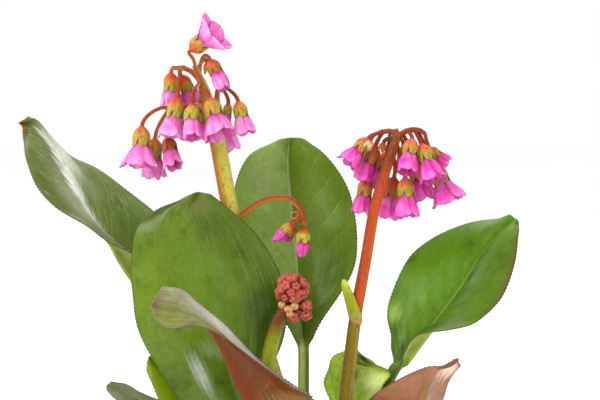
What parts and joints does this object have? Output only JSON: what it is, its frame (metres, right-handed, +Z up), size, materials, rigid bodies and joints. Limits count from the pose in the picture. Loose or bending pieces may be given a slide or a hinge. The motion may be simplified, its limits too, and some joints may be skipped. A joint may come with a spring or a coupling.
{
  "type": "potted purple bergenia",
  "caption": "Potted evergreen perennial with paddle-shaped leathery leaves on thick stalks and nodding clusters of pink bell flowers on fleshy red stems.",
  "frame": {"origin": "centre of the pot's flat base", "axes": "+Z up out of the pot; the picture looks along +Y with +X to its right"},
  "size_m": [0.2813, 0.139, 0.3561],
  "materials": {
    "pot": "matte moulded plastic",
    "soil": "moist peat and bark compost",
    "rhizome": "rough brown scales",
    "leaf_back": "waxy semi-gloss",
    "leaf_front": "waxy semi-gloss",
    "leaf_folded": "waxy, red-brown underside outward",
    "leaf_far_left": "waxy semi-gloss",
    "leaf_right": "waxy semi-gloss",
    "leaf_red": "waxy, red and pink",
    "leaf_lime": "waxy, thin lime green",
    "leaf_low": "waxy semi-gloss",
    "leaf_young": "waxy, fresh lime green",
    "flower_stem_left": "fleshy, finely haired",
    "flower_stem_right": "fleshy, finely haired",
    "bud_stem": "fleshy, finely haired",
    "petals_pale": "thin, soft sheen",
    "petals_deep": "thin, soft sheen"
  },
  "bodies": {
    "root": {"pot": "pot", "soil": "soil", "rhizome": "rhizome", "leaf_back": "leaf_back", "leaf_front": "leaf_front", "leaf_folded": "leaf_folded", "leaf_far_left": "leaf_far_left", "leaf_right": "leaf_right", "leaf_red": "leaf_red", "leaf_lime": "leaf_lime", "leaf_low": "leaf_low", "leaf_young": "leaf_young", "flower_stem_left": "flower_stem_left", "flower_stem_right": "flower_stem_right", "bud_stem": "bud_stem", "corolla_left_01": "petals_pale", "corolla_left_02": "petals_pale", "corolla_left_03": "petals_pale", "corolla_left_04": "petals_pale", "corolla_left_05": "petals_pale", "corolla_left_06": "petals_pale", "corolla_left_07": "petals_pale", "corolla_left_08": "petals_pale", "corolla_left_09": "petals_pale", "corolla_left_10": "petals_pale", "corolla_left_11": "petals_pale", "corolla_left_12": "petals_pale", "corolla_left_13": "petals_pale", "corolla_left_14": "petals_pale", "corolla_right_01": "petals_deep", "corolla_right_02": "petals_deep", "corolla_right_03": "petals_deep", "corolla_right_04": "petals_deep", "corolla_right_05": "petals_deep", "corolla_right_06": "petals_deep", "corolla_right_07": "petals_deep", "corolla_right_08": "petals_deep", "corolla_right_09": "petals_deep", "corolla_right_10": "petals_deep", "corolla_right_11": "petals_deep", "corolla_right_12": "petals_deep", "corolla_right_13": "petals_deep", "corolla_side_01": "petals_deep", "corolla_side_02": "petals_deep", "corolla_side_03": "petals_deep"}
  },
  "joints": []
}
